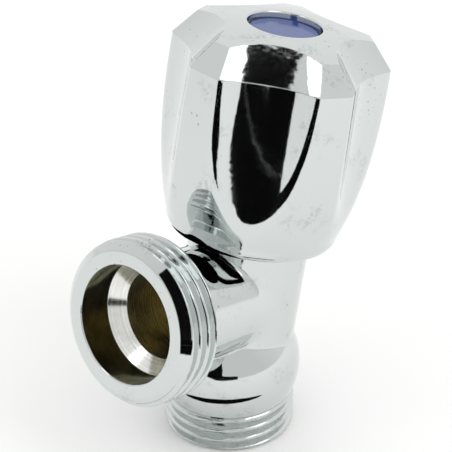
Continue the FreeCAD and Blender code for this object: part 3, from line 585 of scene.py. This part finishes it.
@dataclass
class ValveBody:
    """The cast body: ball knuckle, neck, threaded inlet, threaded outlet branch and waterways."""

    knuckle_radius: float = 11.4
    neck_radius: float = 9.6
    neck_rim_radius: float = 10.6
    neck_rim_base: float = 22.3
    neck_rim_top: float = 25.0
    crease_rounding: float = 0.35
    branch_radius: float = 9.0
    branch_fillet: float = 0.6
    outlet_reach: float = 26.5
    outlet_chamfer: float = 1.6
    outlet_chamfer_length: float = 1.2
    outlet_back: float = 19.9
    outlet_back_chamfer: float = 0.8
    counterbore_radius: float = 9.4
    counterbore_depth: float = 5.8
    shoulder_length: float = 2.0
    outlet_bore_radius: float = 7.05
    inlet_chamfer: float = 0.75
    inlet_bore_radius: float = 6.75
    inlet_bore_top: float = 8.5
    seat_height: float = 3.5
    seat_ring_height: float = 0.8
    seat_ring_radius: float = 6.4
    seat_bore_radius: float = 5.2
    chamber_radius: float = 7.6
    chamber_top: float = 17.9
    bonnet_bore_radius: float = 8.35
    around: int = 256
    waterway_around: tuple[int, int, int] = (160, 192, 224)
    ball_steps: int = 64
    fillet_steps: int = 9
    fillet_sweep: float = 80.0
    search_steps: int = 40
    branch_steps: int = 9
    branch_span: tuple[float, float] = (0.1, 0.9)
    branch_end: float = 0.4
    back_gap: float = 0.3
    thread_rise: float = 1.5
    refine_start: float = 0.05
    refine_margin: float = 0.02
    neck_step: float = 0.8
    thread_step: float = 0.11
    rim_root_rounding: float = 0.3
    rim_rounding: float = 0.2
    mouth_rounding: float = 0.12
    seat_rounding: float = 0.15
    back_rounding: float = 0.1
    back_root_rounding: float = 0.25
    inlet_overlap: float = 1.0
    root_sink: float = 0.9
    root_inset: float = 1.2
    overrun: float = 1.0
    seat_overrun: float = 3.0
    bore_lead: float = 1.2
    bore_lead_end: float = 0.2
    bore_cone: float = 0.35
    mouth_depth: float = 0.15
    sharp_degrees: float = 32.0
    inlet_thread: PipeThread = PipeThread(10.4775, 6.25, 0.0, 7.6)
    outlet_thread: PipeThread = PipeThread(13.2205, 22.0, 19.0, 26.6)

    def build(self) -> bpy.types.Object:
        """Make the body as one closed mesh.

        Returns:
            The body, shaded, without materials.
        """
        body = self.make_neck()
        combine(body, self.make_inlet(), Cut.JOIN)
        combine(body, self.make_outlet(), Cut.JOIN)
        for tool in self.make_waterways():
            combine(body, tool, Cut.REMOVE)
        body.name = "threaded_body"
        shade(body, self.sharp_degrees)
        return body

    def make_neck(self) -> bpy.types.Object:
        """Make the ball and the neck above it.

        Returns:
            The closed solid.
        """
        crease = math.sqrt(self.knuckle_radius ** 2 - self.neck_radius ** 2)
        low = math.atan2(crease, self.neck_radius)
        bend = np.linspace(-math.pi / 2, low, self.ball_steps)
        ball = np.stack([np.cos(bend), np.sin(bend)], axis=1) * self.knuckle_radius
        slope = self.neck_rim_radius - self.neck_radius
        upper = soften([
            Corner(float(ball[-2][0]), float(ball[-2][1])),
            Corner(self.neck_radius, crease, self.crease_rounding),
            Corner(self.neck_radius, self.neck_rim_base, self.rim_root_rounding),
            Corner(self.neck_rim_radius, self.neck_rim_base + slope, self.rim_rounding),
            Corner(self.neck_rim_radius, self.neck_rim_top, self.rim_rounding),
            Corner(0.0, self.neck_rim_top),
        ])
        rows = refine(np.concatenate([ball[:-2], upper]), crease, self.neck_rim_base, self.neck_step)
        return turn_solid("neck", SPINDLE_AXIS, rows, self.around)

    def make_inlet(self) -> bpy.types.Object:
        """Make the threaded inlet up to the middle of the ball.

        Returns:
            The closed solid.
        """
        crest = self.inlet_thread.crest_radius
        top = INLET_LENGTH - self.inlet_overlap
        rows = soften([
            Corner(0.0, 0.0),
            Corner(crest - self.inlet_chamfer, 0.0, self.mouth_rounding),
            Corner(crest, self.inlet_chamfer),
            Corner(crest, top),
            Corner(0.0, top),
        ])
        rows = refine(rows, self.refine_margin, self.inlet_thread.end, self.thread_step)
        return turn_solid("inlet", INLET_AXIS, rows, self.around, self.inlet_thread)

    def outside_neck(self, points: np.ndarray) -> np.ndarray:
        """Measure how far points lie outside the neck and the ball.

        Args:
            points: Points in millimetres.

        Returns:
            Distances, less than zero inside.
        """
        radius, height = SPINDLE_AXIS.read(points)
        ball = np.hypot(radius, height) - self.knuckle_radius
        return np.minimum(radius - self.neck_radius, ball)

    def fillet_rows(self, angle: np.ndarray) -> list[tuple[np.ndarray, np.ndarray]]:
        """Rings of the fillet between branch and neck, from the neck outward.

        Args:
            angle: Angles around the outlet.

        Returns:
            Pairs of radius and height, one value for each angle.
        """
        rings: list[tuple[np.ndarray, np.ndarray]] = []
        for turn in np.linspace(math.radians(self.fillet_sweep), 0, self.fillet_steps):
            ring = np.full_like(angle, self.branch_radius + self.branch_fillet * (1 - math.cos(turn)))
            gap = self.branch_fillet * (1 - math.sin(turn))
            low = np.zeros_like(angle)
            high = np.full_like(angle, self.outlet_back)
            for _ in range(self.search_steps):
                middle = (low + high) / 2
                outside = self.outside_neck(OUTLET_AXIS.points(ring, middle, angle))
                high = np.where(outside > gap, middle, high)
                low = np.where(outside > gap, low, middle)
            rings.append((ring, (low + high) / 2))
        return rings

    def make_outlet(self) -> bpy.types.Object:
        """Make the outlet branch with its fillet, thread and lead chamfer.

        Returns:
            The closed solid.
        """
        crest = self.outlet_thread.crest_radius
        step = self.outlet_back - self.outlet_back_chamfer
        angle = np.linspace(0, 2 * math.pi, self.around, endpoint=False)
        even = np.ones_like(angle)
        rings = self.fillet_rows(angle)
        root_radius, root_height = rings[0]
        rings.insert(0, (root_radius, root_height - self.root_sink))
        rings.insert(0, (root_radius - self.root_inset, 0 * even))
        start = rings[-1][1]
        for part in np.linspace(*self.branch_span, self.branch_steps):
            rings.append((self.branch_radius * even, start + (step - self.back_gap - start) * part))
        rows = soften([
            Corner(self.branch_radius, step - self.branch_end),
            Corner(self.branch_radius, step, self.back_root_rounding),
            Corner(crest - self.outlet_back_chamfer, step, self.back_rounding),
            Corner(crest, self.outlet_back, self.back_rounding),
            Corner(crest, self.outlet_reach - self.outlet_chamfer_length, self.mouth_rounding),
            Corner(crest - self.outlet_chamfer, self.outlet_reach, self.seat_rounding),
            Corner(0.0, self.outlet_reach),
        ])
        margin = self.outlet_reach - self.refine_margin
        rows = refine(rows, step + self.refine_start, margin, self.thread_step)
        rings.extend((radius * even, height * even) for radius, height in rows[:-1])
        radius, height = np.array(rings).transpose(1, 0, 2)
        inside = (height > step + self.back_gap) & (radius > self.branch_radius + self.thread_rise)
        cut = crest - self.outlet_thread.groove(height, angle)
        radius = np.where(inside, np.minimum(radius, cut), radius)
        points = OUTLET_AXIS.points(radius, height, angle)
        return mesh_from_rings("outlet", points, OUTLET_AXIS.spot(0.0), OUTLET_AXIS.spot(self.outlet_reach))

    def make_waterways(self) -> list[bpy.types.Object]:
        """Make the solids that are cut out: chamber, inlet bore and outlet bore.

        Returns:
            The three solids, in that order.
        """
        floor = self.seat_height - self.seat_ring_height
        above = self.neck_rim_top + self.overrun
        chamber = soften([
            Corner(0.0, -self.seat_overrun),
            Corner(self.seat_bore_radius, -self.seat_overrun),
            Corner(self.seat_bore_radius, self.seat_height, self.seat_rounding),
            Corner(self.seat_ring_radius, self.seat_height, self.seat_rounding),
            Corner(self.seat_ring_radius, floor, self.rim_rounding),
            Corner(self.chamber_radius, floor, self.rim_root_rounding),
            Corner(self.chamber_radius, self.chamber_top),
            Corner(self.bonnet_bore_radius, self.chamber_top),
            Corner(self.bonnet_bore_radius, above),
            Corner(0.0, above),
        ])
        inlet = soften([
            Corner(0.0, -self.overrun),
            Corner(self.inlet_bore_radius + self.bore_lead, -self.overrun),
            Corner(self.inlet_bore_radius, self.bore_lead_end),
            Corner(self.inlet_bore_radius, self.inlet_bore_top),
            Corner(0.0, self.inlet_bore_top + self.inlet_bore_radius * self.bore_cone),
        ])
        shoulder = self.outlet_reach - self.counterbore_depth
        beyond = self.outlet_reach + self.overrun
        outlet = soften([
            Corner(0.0, 0.0),
            Corner(self.outlet_bore_radius, 0.0),
            Corner(self.outlet_bore_radius, shoulder - self.shoulder_length, self.mouth_rounding),
            Corner(self.counterbore_radius, shoulder, self.mouth_rounding),
            Corner(self.counterbore_radius, self.outlet_reach - self.mouth_depth),
            Corner(self.counterbore_radius + self.mouth_depth + self.overrun, beyond),
            Corner(0.0, beyond),
        ])
        around = self.waterway_around
        return [
            turn_solid("chamber", SPINDLE_AXIS, chamber, around[0]),
            turn_solid("inlet_bore", INLET_AXIS, inlet, around[1]),
            turn_solid("outlet_bore", OUTLET_AXIS, outlet, around[2]),
        ]

    def dress(self, body: bpy.types.Object) -> None:
        """Give the plated outside and the turned waterways their finishes.

        Args:
            body: The body's mesh object.
        """
        finishes = [
            PolishedChrome("chrome_plated_brass_casting"),
            TurnedMetal("plated_brass_turned_counterbore", OUTLET_AXIS, "D0D0BA", "86857A", 0.16),
            TurnedMetal("plated_brass_turned_shoulder", OUTLET_AXIS, "FAFAF7", "DADAD6", 0.11),
            TurnedMetal("bare_brass_turned_bore", OUTLET_AXIS, "EEEEDC", "BDBBA4"),
            TurnedMetal("bare_brass_turned_waterway", SPINDLE_AXIS),
        ]
        body.data.materials.clear()
        for finish in finishes:
            body.data.materials.append(finish.build())
        count = len(body.data.polygons)
        centres = np.empty(count * 3)
        body.data.polygons.foreach_get("center", centres)
        centres = centres.reshape(-1, 3) / MM
        radius, depth = OUTLET_AXIS.read(centres)
        spindle_radius, spindle_height = SPINDLE_AXIS.read(centres)
        inlet_radius, inlet_height = INLET_AXIS.read(centres)
        shoulder = self.outlet_reach - self.counterbore_depth
        slots = np.zeros(count, dtype=np.int32)
        counterbore, slope, bore, waterway = range(1, len(finishes))
        rim, lead, thinnest_wall, branch_start = 0.05, 1.0, 0.7, 4.0
        in_chamber = spindle_radius < self.bonnet_bore_radius + rim
        in_chamber &= spindle_height < self.neck_rim_top - rim
        in_chamber &= self.outside_neck(centres) < -thinnest_wall
        in_chamber &= (inlet_radius < self.inlet_bore_radius + lead) | (inlet_height > self.inlet_bore_top)
        in_inlet = (inlet_radius < self.inlet_bore_radius + rim) & (inlet_height > rim)
        in_inlet &= inlet_height < INLET_LENGTH
        slots[in_chamber | in_inlet] = waterway
        in_outlet = (radius < self.counterbore_radius + rim) & (depth > branch_start)
        slope_start = shoulder - self.shoulder_length + rim
        mouth = self.outlet_reach - self.mouth_depth - HAIR
        slots[in_outlet & (depth < slope_start) & (radius < self.outlet_bore_radius + rim)] = bore
        slots[in_outlet & (depth >= slope_start) & (depth < shoulder)] = slope
        slots[in_outlet & (depth >= shoulder) & (depth < mouth)] = counterbore
        body.data.polygons.foreach_set("material_index", slots)
        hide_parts("valve_body")
        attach(body, "valve")


@dataclass
class Headwork:
    """The pieces inside the neck and the knob, kept as the solids give them, with their finishes."""

    finishes: dict[str, TurnedMetal | Moulded] = field(default_factory=lambda: {
        "bonnet": TurnedMetal("bare_brass_turned_bonnet", SPINDLE_AXIS, "C9AE68", "8A7238"),
        "spindle": TurnedMetal("bare_brass_turned_spindle", SPINDLE_AXIS, "C9AE68", "8A7238"),
        "plunger": TurnedMetal("bare_brass_turned_plunger", SPINDLE_AXIS, "C2A763", "857037"),
        "washer_screw": TurnedMetal("bare_brass_turned_screw", SPINDLE_AXIS, "C9AE68", "8A7238"),
        "spindle_circlip": TurnedMetal("spring_steel_zinc_plated", SPINDLE_AXIS, "B4B6B8", "86888A"),
        "knob_screw": TurnedMetal("steel_screw_zinc_plated", SPINDLE_AXIS, "BCBEC0", "8C8E90"),
        "bonnet_gasket": Moulded("pressed_red_fibre", "8A4A38", "6E3426", 0.8, 1.45, 0.8, 0.12, 0.02),
        "seat_washer": Moulded("nitrile_rubber_moulded", "2A2A2B", "1C1C1D", 0.6, 1.52),
        "spindle_o_ring_lower": Moulded("nitrile_rubber_ring_lower", "262627", "19191A", 0.45, 1.52),
        "spindle_o_ring_upper": Moulded("nitrile_rubber_ring_upper", "262627", "19191A", 0.45, 1.52),
        "thrust_washer": Moulded("acetal_moulded_ring", "ECEAE2", "DDDAD0", 0.4, 1.48),
        "spline_adapter": Moulded("acetal_moulded_bush", "ECEAE2", "DDDAD0", 0.4, 1.48),
    })

    def dress(self) -> None:
        """Put each finish on its solid."""
        for node, finish in self.finishes.items():
            put_finish(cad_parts[node], finish)
            LOG.info("%s dressed", node)


def put_finish(thing: bpy.types.Object, finish: PolishedChrome | TurnedMetal | Moulded) -> None:
    """Give one object a finish in every material slot it has.

    Args:
        thing: Object that takes the finish.
        finish: Finish that is built for it.
    """
    material = finish.build()
    if not thing.data.materials:
        thing.data.materials.append(material)
    for index in range(len(thing.material_slots)):
        thing.material_slots[index].material = material


@dataclass(frozen=True)
class FlutedSkirt:
    """Outside of the knob's skirt: a tapering round with five hollow flutes that run out near its foot."""

    first_flute: float = -54.0
    repeat: float = 72.0
    flat_half_angle: float = 10.3
    flat_heights: tuple[float, float] = (34.0, 46.0)
    foot: float = 23.4
    foot_blend: float = 1.6
    rim: float = 51.9
    round_heights: tuple[float, ...] = (22.75, 25.55, 30.0, 40.0, 46.0, 51.9)
    round_radii: tuple[float, ...] = (12.9, 14.1, 15.35, 17.1, 17.5, 17.55)
    flute_heights: tuple[float, ...] = (30.0, 40.0, 46.0, 51.9)
    flute_floors: tuple[float, ...] = (14.7, 14.55, 14.4, 14.2)
    flute_bend: float = 18.0
    edge: float = 0.85
    depth: float = 1.0
    fit_middle: float = 40.0

    def radius(self, height: np.ndarray, angle: np.ndarray) -> np.ndarray:
        """Distance of the skirt from the spindle's axis.

        Args:
            height: Heights along the axis.
            angle: Angles in radians.

        Returns:
            Radii in millimetres.
        """
        middle = self.fit_middle
        taper = np.polyfit(np.array(self.round_heights) - middle, self.round_radii, 3)
        floors = np.polyfit(np.array(self.flute_heights) - middle, self.flute_floors, 2)
        full = np.polyval(taper, height - middle)
        floor = np.polyval(floors, height - middle)
        half = self.repeat / 2
        turn = (np.degrees(angle) - self.first_flute + half) % self.repeat - half
        flat = full * math.cos(math.radians(self.flat_half_angle))
        flat = flat / np.cos(np.radians(half - np.abs(turn)))
        low, high = self.flat_heights
        share = np.clip((height - low) / (high - low), 0, 1)
        full = full + (np.minimum(full, flat) - full) * share
        across, along = np.sin(np.radians(turn)) ** 2, np.cos(np.radians(turn))
        inside = np.clip(along ** 2 - 2 * floor * across / self.flute_bend, 0, None)
        flute = 2 * floor / (along + np.sqrt(inside))
        part = np.clip(0.5 + 0.5 * (flute - full) / self.edge, 0, 1)
        return flute + (full - flute) * part - self.edge * part * (1 - part)

    def measure(self, points: np.ndarray) -> tuple[np.ndarray, np.ndarray, np.ndarray, np.ndarray]:
        """Place of points about the spindle's axis.

        Args:
            points: Points in metres.

        Returns:
            Radius, height, angle, and whether the point lies on the outside of the skirt.
        """
        points = points / MM
        zero, quarter, _ = SPINDLE_AXIS.basis()
        offset = points - np.array(SPINDLE_AXIS.origin)
        radius, height = SPINDLE_AXIS.read(points)
        angle = np.arctan2(offset @ quarter, offset @ zero)
        outside = (height > self.foot) & (height < self.rim + HAIR)
        outside &= radius > self.radius(height, angle) - self.depth
        return radius, height, angle, outside


def copy_solid(node: str, name: str) -> bpy.types.Mesh:
    """Copy a solid's faces into a mesh of its own, with its points joined.

    Args:
        node: Name of the solid's node.
        name: Name of the new mesh.

    Returns:
        The mesh, with no shading kept from the solid.
    """
    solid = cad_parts[node].data
    mesh = bpy.data.meshes.new(name)
    faces = [tuple(face.vertices) for face in solid.polygons]
    mesh.from_pydata([vertex.co.copy() for vertex in solid.vertices], [], faces)
    work = bmesh.new()
    work.from_mesh(mesh)
    bmesh.ops.remove_doubles(work, verts=work.verts, dist=SAME_POINT)
    work.to_mesh(mesh)
    work.free()
    return mesh


def in_fixed_order(work: bmesh.types.BMesh) -> tuple[np.ndarray, np.ndarray]:
    """List a mesh's points and triangles in an order that is the same in every run.

    Splitting edges leaves the faces in an order that changes from run to run.

    Args:
        work: Mesh of triangles.

    Returns:
        Points in metres, and the numbers of each triangle's three points.
    """
    work.verts.index_update()
    points = np.array([vertex.co for vertex in work.verts])
    order = np.lexsort(np.round(points / SAME_POINT).T)
    rank = np.argsort(order)
    faces = rank[np.array([[vertex.index for vertex in face.verts] for face in work.faces])]
    turn = faces.argmin(axis=1)[:, None] + np.arange(3)
    faces = np.take_along_axis(faces, turn % 3, axis=1)
    return points[order], faces[np.lexsort(faces.T)]


@dataclass
class Knob:
    """The lobed knob and its blue cap."""

    skirt: FlutedSkirt = FlutedSkirt()
    spacing: float = 0.5
    passes: int = 5
    sharp_degrees: float = 28.0
    cap_middle: float = 55.5
    cap_sink: float = 0.55
    well_radius: float = 5.87
    well_tolerance: float = 0.02
    well_rim_above: float = 56.05
    well_edge: float = 0.35
    well_segments: int = 5
    shell_finish: PolishedChrome = PolishedChrome("chrome_plated_abs_moulded")
    cap_finish: Moulded = Moulded("blue_abs_moulded", "3C5193", "31447F", 0.14, 1.53, 3.0, 0.6, 0.0006)

    def build(self) -> bpy.types.Object:
        """Make the knob's shell from its solid, with the flutes of its skirt worked out finely.

        Returns:
            The shell, shaded, riding on the knob.
        """
        mesh = copy_solid("knob_shell", "fluted_knob")
        work = bmesh.new()
        work.from_mesh(mesh)
        self.round_well(work)
        for _ in range(self.passes):
            work.verts.ensure_lookup_table()
            outside = self.skirt.measure(np.array([vertex.co for vertex in work.verts]))[3]
            skin = [edge for edge in work.edges if all(outside[vertex.index] for vertex in edge.verts)]
            long = [edge for edge in skin if edge.calc_length() > self.spacing * MM]
            if not long:
                break
            bmesh.ops.subdivide_edges(work, edges=long, cuts=1)
            bmesh.ops.triangulate(work, faces=[face for face in work.faces if len(face.verts) > 3])
            work.verts.index_update()
        points, faces = in_fixed_order(work)
        work.free()
        radius, height, angle, outside = self.skirt.measure(points)
        share = np.clip((height - self.skirt.foot) / self.skirt.foot_blend, 0, 1)
        change = self.skirt.radius(height, angle) - radius
        wanted = radius + change * share * share * (3 - 2 * share)
        points[outside] = SPINDLE_AXIS.points(wanted, height, angle)[outside] * MM
        mesh.clear_geometry()
        mesh.from_pydata(points.tolist(), [], faces.tolist())
        shell = put_in_scene("fluted_knob", mesh)
        shade(shell, self.sharp_degrees)
        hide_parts("knob_shell")
        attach(shell, "knob")
        return shell

    def round_well(self, work: bmesh.types.BMesh) -> None:
        """Round the edge of the cap's well, which catches the light as a thin bright ring.

        Args:
            work: The shell's mesh.
        """
        rim = set()
        for vertex in work.verts:
            radius, height = SPINDLE_AXIS.read(np.array(vertex.co) / MM)
            if abs(radius - self.well_radius) < self.well_tolerance and height > self.well_rim_above:
                rim.add(vertex)
        edges = [edge for edge in work.edges if rim.issuperset(edge.verts)]
        bmesh.ops.bevel(
            work, geom=edges, offset=self.well_edge * MM, segments=self.well_segments, profile=0.5,
            affect="EDGES", clamp_overlap=False,
        )
        bmesh.ops.triangulate(work, faces=[face for face in work.faces if len(face.verts) > 4])
        LOG.info("well's edge has %d pieces", len(edges))

    def build_cap(self) -> bpy.types.Object:
        """Make the blue cap from its solid, with its face sunk as deep in the knob as it looks.

        Returns:
            The cap, shaded, riding on the knob.
        """
        mesh = copy_solid("index_cap", "sunk_cap")
        for vertex in mesh.vertices:
            height = SPINDLE_AXIS.read(np.array(vertex.co) / MM)[1]
            if height > self.cap_middle:
                vertex.co -= Vector(SPINDLE_DIRECTION) * self.cap_sink * MM
        cap = put_in_scene("sunk_cap", mesh)
        shade(cap, self.sharp_degrees)
        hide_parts("index_cap")
        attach(cap, "knob")
        return cap

    def dress(self, shell: bpy.types.Object, cap: bpy.types.Object) -> None:
        """Put the finishes on the shell and the cap.

        Args:
            shell: The knob's shell.
            cap: The blue cap.
        """
        put_finish(shell, self.shell_finish)
        put_finish(cap, self.cap_finish)


@dataclass(frozen=True)
class Panel:
    """A flat dark sheet in the tent that only reflections show.

    Its corners are pairs of distances from its middle along its two directions, in millimetres.
    """

    name: str
    middle: Triple
    across: Triple
    up: Triple
    corners: tuple[tuple[float, float], ...]
    tint: str = "0A0A0A"

    def build(self) -> None:
        """Make the sheet in dull black cloth."""
        middle, across, up = Vector(self.middle), Vector(self.across), Vector(self.up)
        points = [(middle + across * first + up * second) * MM for first, second in self.corners]
        mesh = bpy.data.meshes.new(self.name)
        mesh.from_pydata(points, [], [tuple(range(len(points)))])
        sheet = put_in_scene(self.name, mesh)
        material = bpy.data.materials.new(self.name + "_cloth")
        material.use_nodes = True
        cloth = material.node_tree.nodes["Principled BSDF"]
        cloth.inputs["Base Color"].default_value = linear(self.tint)
        cloth.inputs["Roughness"].default_value = 1.0
        cloth.inputs["Specular IOR Level"].default_value = 0.0
        mesh.materials.append(material)
        sheet.visible_camera = False
        sheet.visible_diffuse = False
        sheet.visible_shadow = False


@dataclass(frozen=True)
class Crescent:
    """A dark crescent on the floor or under the knob: radius at each end, width and span of angles."""

    name: str
    first_radius: float
    last_radius: float
    width: float
    first_angle: float
    last_angle: float
    middle: Triple = (0.0, 0.0, 0.3)
    back: Triple = (0.0, 1.0, 0.0)
    steps: int = 25
    thinnest: float = 0.0004

    def make_panel(self) -> Panel:
        """Make the crescent as a flat sheet that thins out to both ends.

        Returns:
            The sheet, not yet built.
        """
        parts = np.linspace(0.0, 1.0, self.steps)
        angles = np.radians(self.first_angle + (self.last_angle - self.first_angle) * parts)
        ring_radius = self.first_radius + (self.last_radius - self.first_radius) * parts
        half = self.width / 2 * np.sqrt(np.sin(math.pi * parts).clip(self.thinnest, 1.0))
        radii = np.concatenate([ring_radius + half, (ring_radius - half)[::-1]])
        angles = np.concatenate([angles, angles[::-1]])
        corners = tuple(zip((radii * np.sin(angles)).tolist(), (-radii * np.cos(angles)).tolist()))
        return Panel(self.name, self.middle, (1.0, 0.0, 0.0), self.back, corners)


@dataclass(frozen=True)
class Lamp:
    """A round soft lamp that looks at the valve."""

    name: str
    place: Triple
    size: float
    power: float
    aim: Triple = (0.0, 0.0, 30.0)

    def build(self) -> None:
        """Make the lamp."""
        data = bpy.data.lights.new(self.name, "AREA")
        data.shape = "DISK"
        data.size = self.size * MM
        data.energy = self.power
        lamp = put_in_scene(self.name, data)
        lamp.location = Vector(self.place) * MM
        way = Vector(self.aim) * MM - lamp.location
        lamp.rotation_euler = way.to_track_quat("-Z", "Y").to_euler()


FRONT = (0.5, -0.866, 0.0)
BESIDE = (0.866, 0.5, 0.0)
UPRIGHT = (0.0, 0.0, 1.0)


@dataclass
class Studio:
    """White tent: a pale floor, soft lamps and a pale surround with dark sheets that chrome shows."""

    floor_size: float = 3.0
    floor_tint: str = "FBFBFA"
    floor_roughness: float = 0.9
    surround_low: float = 0.78
    surround_high: float = 1.0
    surround_light: Triple = (-0.45, 0.8, 0.4)
    surround_range: tuple[float, float] = (-0.3, 0.9)
    fill: float = 1.0
    lamps: tuple[Lamp, ...] = (
        Lamp("soft_lamp", (390.0, 90.0, 500.0), 380.0, 0.57),
        Lamp("high_lamp", (-137.0, -248.0, 511.0), 160.0, 0.09),
    )
    panels: tuple[Panel, ...] = (
        Panel("front_sheet", (200.0, -346.4, 0.0), BESIDE, UPRIGHT, (
            (-146.0, 0.5), (204.0, 0.5), (204.0, 32.0), (24.0, 32.0), (24.0, 98.0), (8.0, 197.0),
            (-30.0, 315.0), (-120.0, 470.0), (-300.0, 660.0), (-330.0, 600.0), (-231.0, 400.0),
            (-165.0, 250.0), (-135.0, 98.0), (-140.0, 32.0),
        )),
        Panel("floor_sheet", (0.0, 0.0, 0.3), BESIDE, FRONT, (
            (-13.0, 149.0), (10.0, 149.0), (24.0, 168.0), (42.0, 196.0), (120.0, 236.0), (204.0, 400.0),
            (-146.0, 400.0), (-96.0, 263.0), (-63.0, 221.0), (-36.0, 187.0),
        )),
        Panel("top_sheet", (0.0, 0.0, 300.0), (1.0, 0.0, 0.0), (0.0, 1.0, 0.0), (
            (167.0, 47.0), (-39.0, -82.0), (46.0, -52.0), (113.0, -11.0),
        )),
    )
    crescents: tuple[Crescent, ...] = (
        # Painted shade: a dark sheet on the floor round the ball's front that stands in for the floor's
        # contact shade; only the chrome's reflections show it.
        Crescent("near_contact_shade_sheet", 20.5, 24.0, 4.6, -16.0, 88.0),
        Crescent("rear_crescent_sheet", 72.0, 72.0, 50.0, -166.0, -120.0),
        # Painted shade: a dark sheet in the gap under the knob's skirt that stands in for the shade there;
        # only reflections on the branch and the knob's lower edge show it.
        Crescent(
            "knob_gap_shade_sheet", 12.1, 12.1, 3.5, -42.0, 42.0,
            (0.0, 4.891, 33.564), (0.0, 0.9763, -0.2164),
        ),
    )

    def build(self) -> None:
        """Make the floor, the surround, the lamps and the dark sheets."""
        self.build_floor()
        self.build_world()
        crescents = (crescent.make_panel() for crescent in self.crescents)
        for thing in (*self.lamps, *self.panels, *crescents):
            thing.build()

    def build_floor(self) -> None:
        """Make the floor under the inlet."""
        half = self.floor_size / 2
        mesh = bpy.data.meshes.new("floor")
        corners = [(-half, -half, 0), (half, -half, 0), (half, half, 0), (-half, half, 0)]
        mesh.from_pydata(corners, [], [(0, 1, 2, 3)])
        floor = put_in_scene("floor", mesh)
        material = bpy.data.materials.new("white_paper_sweep")
        material.use_nodes = True
        paper = material.node_tree.nodes["Principled BSDF"]
        paper.inputs["Base Color"].default_value = linear(self.floor_tint)
        paper.inputs["Roughness"].default_value = self.floor_roughness
        mesh.materials.append(material)

    def build_world(self) -> None:
        """Make the surround: white to the eye, and in reflections paler towards its lit side."""
        world = bpy.data.worlds.new("tent")
        bpy.context.scene.world = world
        world.use_nodes = True
        tree = world.node_tree
        tree.nodes.clear()
        path = add_node(tree, "ShaderNodeLightPath")
        way = add_node(tree, "ShaderNodeTexCoord").outputs["Generated"]
        lit = add_node(tree, "ShaderNodeVectorMath", {"operation": "DOT_PRODUCT"}, {
            0: way, 1: self.surround_light,
        })
        unlit, full = self.surround_range
        cloth = add_node(tree, "ShaderNodeMapRange", inputs={
            "Value": lit.outputs["Value"], "From Min": unlit, "From Max": full,
            "To Min": self.surround_low, "To Max": self.surround_high,
        })
        glossy = add_node(tree, "ShaderNodeMix", {"data_type": "FLOAT"}, {
            "Factor": path.outputs["Is Glossy Ray"], 2: self.fill, 3: cloth.outputs["Result"],
        })
        level = add_node(tree, "ShaderNodeMix", {"data_type": "FLOAT"}, {
            "Factor": path.outputs["Is Camera Ray"], 2: glossy.outputs[0], 3: 1.0,
        })
        background = add_node(tree, "ShaderNodeBackground", inputs={
            "Color": (1.0, 1.0, 1.0, 1.0), "Strength": level.outputs[0],
        })
        add_node(tree, "ShaderNodeOutputWorld", inputs={"Surface": background.outputs["Background"]})


@dataclass
class ViewCamera:
    """The camera where the photograph was taken, fitted to the valve's ends and knob corners."""

    place: Triple = (245.45, -259.56, 260.35)
    right: Triple = (0.7255, 0.6882, 0.0018)
    forward: Triple = (-0.5823, 0.6153, -0.5315)
    lens: float = 214.26
    sensor: float = 36.0
    nearest: float = 0.01
    shift: tuple[float, float] = (-0.0053, 0.0023)

    def build(self) -> None:
        """Make the camera and make it the scene's own."""
        data = bpy.data.cameras.new("camera")
        data.sensor_width = self.sensor
        data.lens = self.lens
        data.shift_x, data.shift_y = self.shift
        data.clip_start = self.nearest
        camera = put_in_scene("camera", data)
        forward = Vector(self.forward).normalized()
        right = Vector(self.right)
        right = (right - forward * right.dot(forward)).normalized()
        up = right.cross(forward)
        rows = Matrix((right, up, -forward)).transposed().to_4x4()
        rows.translation = Vector(self.place) * MM
        camera.matrix_world = rows
        bpy.context.scene.camera = camera


def main() -> None:
    """Build and dress the valve, then light it."""
    logging.basicConfig(level=logging.INFO, format="%(name)s: %(message)s")
    bpy.context.scene.view_settings.view_transform = "Standard"
    body = ValveBody()
    mesh = body.build()
    body.dress(mesh)
    LOG.info("body has %d faces", len(mesh.data.polygons))
    Headwork().dress()
    knob = Knob()
    shell = knob.build()
    cap = knob.build_cap()
    knob.dress(shell, cap)
    LOG.info("knob has %d faces and its cap %d", len(shell.data.polygons), len(cap.data.polygons))
    Studio().build()
    ViewCamera().build()


if __name__ == "__main__":
    main()
